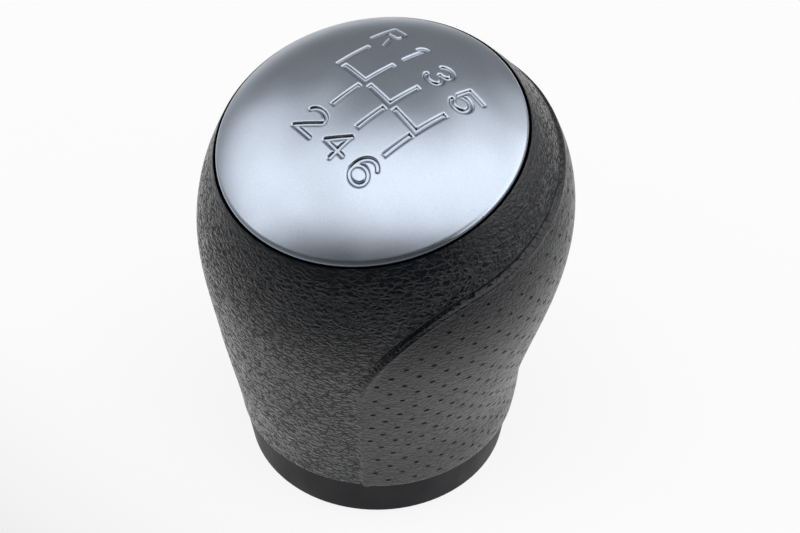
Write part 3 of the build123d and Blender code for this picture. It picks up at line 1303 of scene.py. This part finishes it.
@dataclass(frozen=True)
class SoftBox:
    """A rectangular lamp: its reach towards the camera, its reach to the right or up, and how bright it looks."""

    name: str
    hang: Hang
    forward: Pair
    across: Pair
    radiance: float


@dataclass
class Studio:
    """White table with a low rim, a soft arch of lamps across the camera's line, and the camera, in metres.

    The paper's fibre alone is in millimetres, as in the finishes.
    """

    azimuth: float = 51.41
    elevation: float = 46.48
    distance: float = 0.4759
    lens: float = 131.4
    sensor: float = 36.0
    clip: Pair = (0.01, 20.0)
    aim_right: float = 0.00389
    aim_height: float = 0.03647
    table_hole: float = 0.02
    table_radius: float = 1.3
    table_drop: float = 0.0002
    table_rows: int = 8
    table_columns: int = 128
    rim_rise: float = 0.28
    rim_rows: int = 11
    sharp_angle: float = 60.0
    paper: float = 0.92
    paper_tone: float = 0.01
    paper_fibre: float = 1.1111
    paper_glow: float = 0.85
    pool_back: float = 0.10
    pool_right: float = 0.045
    pool: Pair = (0.13, 0.28)
    pool_edge: float = 0.25
    front_fade: Pair = (0.10, 0.36)
    front_level: float = 0.4
    room_fade: Pair = (-0.6, 0.6)
    room_light: Pair = (0.33, 0.02)
    ceiling: float = 0.85
    wall: float = 0.85
    lamps: tuple[SoftBox, ...] = (
        SoftBox("top_box", Hang.OVERHEAD, (0.00, 0.73), (-0.40, 0.40), 1.56),
        SoftBox("top_fade", Hang.OVERHEAD, (-0.13, 0.00), (-0.40, 0.40), 1.05),
        SoftBox("top_end", Hang.OVERHEAD, (-0.27, -0.13), (-0.40, 0.40), 0.60),
        SoftBox("left_wing", Hang.OVERHEAD, (-0.22, 0.70), (-1.05, -0.40), 1.24),
        SoftBox("left_wing_end", Hang.OVERHEAD, (-0.90, -0.22), (-1.05, -0.40), 0.56),
        SoftBox("right_wing", Hang.OVERHEAD, (-0.24, 0.72), (0.40, 1.05), 1.54),
        SoftBox("right_wing_end", Hang.OVERHEAD, (-0.75, -0.24), (0.40, 1.05), 0.90),
        SoftBox("left_box", Hang.LEFT, (-0.30, 0.22), (0.16, 0.72), 1.38),
        SoftBox("left_front", Hang.LEFT, (0.22, 0.42), (0.36, 0.80), 1.15),
        SoftBox("left_fade", Hang.LEFT, (-0.58, -0.30), (0.10, 0.72), 1.12),
        SoftBox("left_fill", Hang.LEFT, (-0.95, -0.58), (0.06, 0.72), 0.84),
        SoftBox("right_box", Hang.RIGHT, (-0.50, 0.45), (0.08, 0.66), 1.68),
        SoftBox("right_front", Hang.RIGHT, (0.45, 0.85), (0.02, 0.50), 0.90),
        SoftBox("right_fill", Hang.RIGHT, (-1.10, -0.50), (0.10, 0.66), 0.60),
    )

    @property
    def towards(self) -> Vector:
        """Level direction from the knob to the camera."""
        sine, cosine = sine_cosine(self.azimuth)
        return Vector((sine, -cosine, 0.0))

    @property
    def right(self) -> Vector:
        """Level direction to the camera's right."""
        sine, cosine = sine_cosine(self.azimuth)
        return Vector((cosine, sine, 0.0))

    def light(self) -> None:
        """Hangs the lamps square to the camera's line, and sets a room that is darker on the camera's side."""
        for box in self.lamps:
            lamp = bpy.data.lights.new(box.name, "AREA")
            lamp.shape = "RECTANGLE"
            lamp.size, lamp.size_y = (ends[1] - ends[0] for ends in (box.forward, box.across))
            lamp.energy = box.radiance * math.pi * lamp.size * lamp.size_y
            overhead, middle = box.hang is Hang.OVERHEAD, sum(box.across) / 2
            side, rise = (middle, self.ceiling) if overhead else (box.hang.value * self.wall, middle)
            place = self.towards * (sum(box.forward) / 2) + self.right * side + UPWARD * rise
            back = UPWARD if overhead else self.right * box.hang.value
            axes = Matrix((self.towards, back.cross(self.towards), back)).transposed()
            new_object(box.name, lamp).matrix_world = Matrix.Translation(place) @ axes.to_4x4()
        sketch = NodeSketch(bpy.data.worlds.new("room"))
        looking = sketch.add("TexCoord").outputs["Generated"]
        facing = sketch.vector("DOT_PRODUCT", looking, self.towards, "Value")
        level = sketch.span(facing, *self.room_fade, *self.room_light)
        room = sketch.add("Background", Strength=level).outputs[0]
        bpy.context.scene.world = sketch.close(room, "OutputWorld")

    def paper_finish(self) -> Material:
        """White paper with a painted pool of light behind the knob: its colour and glow darken softly away from
        the pool and towards the front, with its shadow on it.

        Returns:
            The material.
        """
        sketch = NodeSketch.material("table_paper")
        path = sketch.add("LightPath").outputs
        seen = sketch.highest(*(path[f"Is {kind} Ray"] for kind in ("Camera", "Glossy", "Transmission")))
        place = sketch.place()
        centre = self.right * self.pool_right - self.towards * self.pool_back
        away = sketch.vector("DISTANCE", place, centre, "Value")
        pool = sketch.span(away, *self.pool, 1.0, self.pool_edge, "SMOOTHSTEP")
        nearness = sketch.vector("DOT_PRODUCT", place, self.towards, "Value")
        # Painted light: the pool and the fade towards the front darken the paper's colour and glow.
        level = sketch.product(pool, sketch.span(nearness, *self.front_fade, 1.0, self.front_level))
        tones = self.paper - self.paper_tone, self.paper + self.paper_tone
        fibre = sketch.span(sketch.noise(place, self.paper_fibre, 3.0), 0.0, 1.0, *tones)
        matt = sketch.add("BsdfDiffuse", Color=sketch.product(fibre, level)).outputs[0]
        glow = sketch.add("Emission", Color=(1.0, 1.0, 1.0, 1.0), Strength=level).outputs[0]
        share = sketch.product(seen, self.paper_glow)
        return sketch.close(sketch.add("MixShader", _0=share, _1=matt, _2=glow).outputs[0])

    def table(self) -> Object:
        """A round table whose edge curls up into a low rim: a quarter-circle profile carried round Z.

        Returns:
            The table.
        """
        roll = np.linspace(0.0, math.pi / 2, self.rim_rows + 1)[1:]
        level = np.linspace(self.table_hole, self.table_radius, self.table_rows)
        radii = np.concatenate([level, self.table_radius + self.rim_rise * np.sin(roll)])
        heights = np.concatenate([np.zeros(self.table_rows), self.rim_rise * (1.0 - np.cos(roll))])
        count = self.table_columns
        turn = FULL_TURN * np.arange(count) / count
        points = around(radii[:, None], turn, heights[:, None] - self.table_drop).reshape(-1, 3)
        faces = weave(len(radii), count, flip=True).tolist() + [list(range(count))]
        table = Shell(points / MM, faces).to_object("table", self.sharp_angle)
        table.data.materials.append(self.paper_finish())
        return table

    def camera(self) -> Object:
        """The photograph's viewpoint.

        Returns:
            The camera, made the scene's own.
        """
        sine, cosine = sine_cosine(self.elevation)
        back = self.towards * cosine + UPWARD * sine
        data = bpy.data.cameras.new("camera")
        data.lens, data.sensor_width = self.lens, self.sensor
        data.clip_start, data.clip_end = self.clip
        camera = new_object("camera", data)
        camera.rotation_mode = "QUATERNION"
        camera.rotation_quaternion = (-back).to_track_quat("-Z", "Y")
        camera.location = self.right * self.aim_right + UPWARD * self.aim_height + back * self.distance
        bpy.context.scene.camera = camera
        return camera

    def build(self) -> None:
        """Sets table, light and camera, and the plain view transform."""
        self.table()
        self.light()
        self.camera()
        bpy.context.scene.view_settings.view_transform = "Standard"


def main() -> None:
    """Dresses the knob piece by piece."""
    logging.basicConfig(level=logging.INFO, format="%(name)s: %(message)s")
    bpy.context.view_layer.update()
    cap = CapFrame()
    form = GripForm(cap)
    pieces = [
        GripBody(form, SeamLine(form)).build(GrainedSkin().make()),
        ShiftCap(cap, ShiftGate()).build(SatinSilver().make()),
        ThreadedBush().build(TurnedBrass().make()),
        CoreMoulding().dress(MouldedPlastic().make()),
    ]
    for piece in pieces:
        LOG.info("%s: %d points, %d faces", piece.name, len(piece.data.vertices), len(piece.data.polygons))
    Studio().build()


if __name__ == "__main__":
    main()
